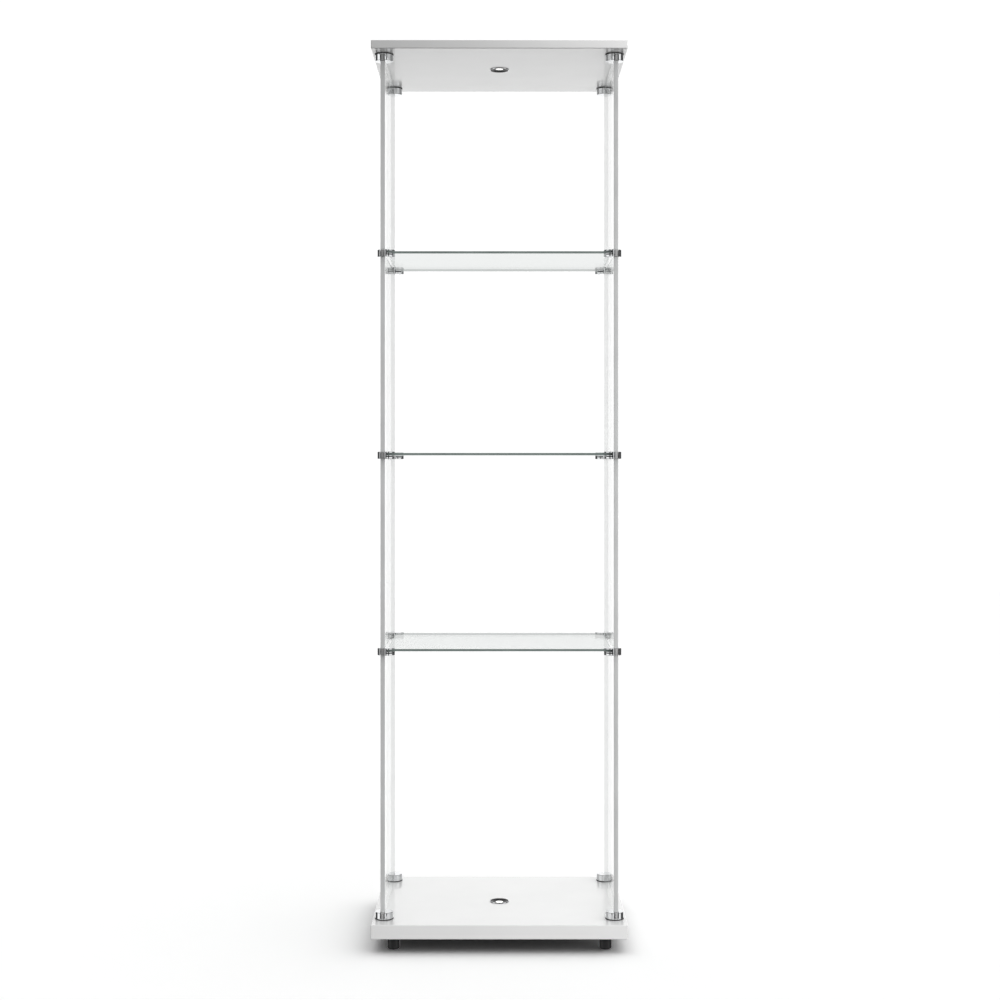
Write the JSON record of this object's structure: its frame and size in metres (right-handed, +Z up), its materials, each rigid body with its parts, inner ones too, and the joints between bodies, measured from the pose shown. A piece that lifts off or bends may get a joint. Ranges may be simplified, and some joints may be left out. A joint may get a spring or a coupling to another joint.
{
  "type": "display case",
  "caption": "Tall open-fronted display case: glass sides and glass shelves held by round chrome fittings between a lit base board and a lit top board, on levelling feet.",
  "frame": {"origin": "on the floor under the middle of the case, level with the feet's undersides", "axes": "+Z up, -Y towards the open front, +X to the right seen from the front"},
  "size_m": [0.45, 0.35, 1.6],
  "materials": {
    "lacquer": "glossy white lacquer on fibreboard, with matching edges",
    "glass": "clear toughened float glass with ground edges and a faint green tint",
    "chrome": "bright polished chrome plate",
    "steel": "bright zinc-plated steel screws",
    "foot_black": "turned steel with a satin black coat and a black felt pad underneath",
    "housing_plastic": "dark grey moulded lamp housing",
    "lens": "frosted white lamp lens",
    "cable": "black cable sheath and moulded socket"
  },
  "bodies": {
    "case": {"base_board": "lacquer", "top_board": "lacquer", "side_glass_left": "glass", "side_glass_right": "glass", "shelf_lower": "glass", "shelf_middle": "glass", "shelf_upper": "glass", "base_disc_front_left": "chrome", "base_disc_front_right": "chrome", "base_disc_rear_left": "chrome", "base_disc_rear_right": "chrome", "top_disc_front_left": "chrome", "top_disc_front_right": "chrome", "top_disc_rear_left": "chrome", "top_disc_rear_right": "chrome", "shelf_clip_lower_front_left": "chrome", "shelf_clip_lower_front_right": "chrome", "shelf_clip_lower_rear_left": "chrome", "shelf_clip_lower_rear_right": "chrome", "shelf_clip_middle_front_left": "chrome", "shelf_clip_middle_front_right": "chrome", "shelf_clip_middle_rear_left": "chrome", "shelf_clip_middle_rear_right": "chrome", "shelf_clip_upper_front_left": "chrome", "shelf_clip_upper_front_right": "chrome", "shelf_clip_upper_rear_left": "chrome", "shelf_clip_upper_rear_right": "chrome", "shelf_cap_lower_front_left": "chrome", "shelf_cap_lower_front_right": "chrome", "shelf_cap_lower_rear_left": "chrome", "shelf_cap_lower_rear_right": "chrome", "shelf_cap_middle_front_left": "chrome", "shelf_cap_middle_front_right": "chrome", "shelf_cap_middle_rear_left": "chrome", "shelf_cap_middle_rear_right": "chrome", "shelf_cap_upper_front_left": "chrome", "shelf_cap_upper_front_right": "chrome", "shelf_cap_upper_rear_left": "chrome", "shelf_cap_upper_rear_right": "chrome", "base_screw_front_left": "steel", "base_screw_front_right": "steel", "base_screw_rear_left": "steel", "base_screw_rear_right": "steel", "top_screw_front_left": "steel", "top_screw_front_right": "steel", "top_screw_rear_left": "steel", "top_screw_rear_right": "steel", "lamp_bezel_base": "chrome", "lamp_lens_base": "lens", "lamp_housing_base": "housing_plastic", "lamp_lead_base": "cable", "lamp_bezel_top": "chrome", "lamp_lens_top": "lens", "lamp_housing_top": "housing_plastic", "lamp_lead_top": "cable"},
    "foot_front_left": {"foot_front_left": "foot_black"},
    "foot_front_right": {"foot_front_right": "foot_black"},
    "foot_rear_left": {"foot_rear_left": "foot_black"},
    "foot_rear_right": {"foot_rear_right": "foot_black"}
  },
  "joints": [
    {"name": "foot_front_left_level", "type": "slide", "parent": "case", "child": "foot_front_left", "axis": [0, 0, -1], "range_m": [0, 0.01]},
    {"name": "foot_front_right_level", "type": "slide", "parent": "case", "child": "foot_front_right", "axis": [0, 0, -1], "range_m": [0, 0.01]},
    {"name": "foot_rear_left_level", "type": "slide", "parent": "case", "child": "foot_rear_left", "axis": [0, 0, -1], "range_m": [0, 0.01]},
    {"name": "foot_rear_right_level", "type": "slide", "parent": "case", "child": "foot_rear_right", "axis": [0, 0, -1], "range_m": [0, 0.01]}
  ]
}
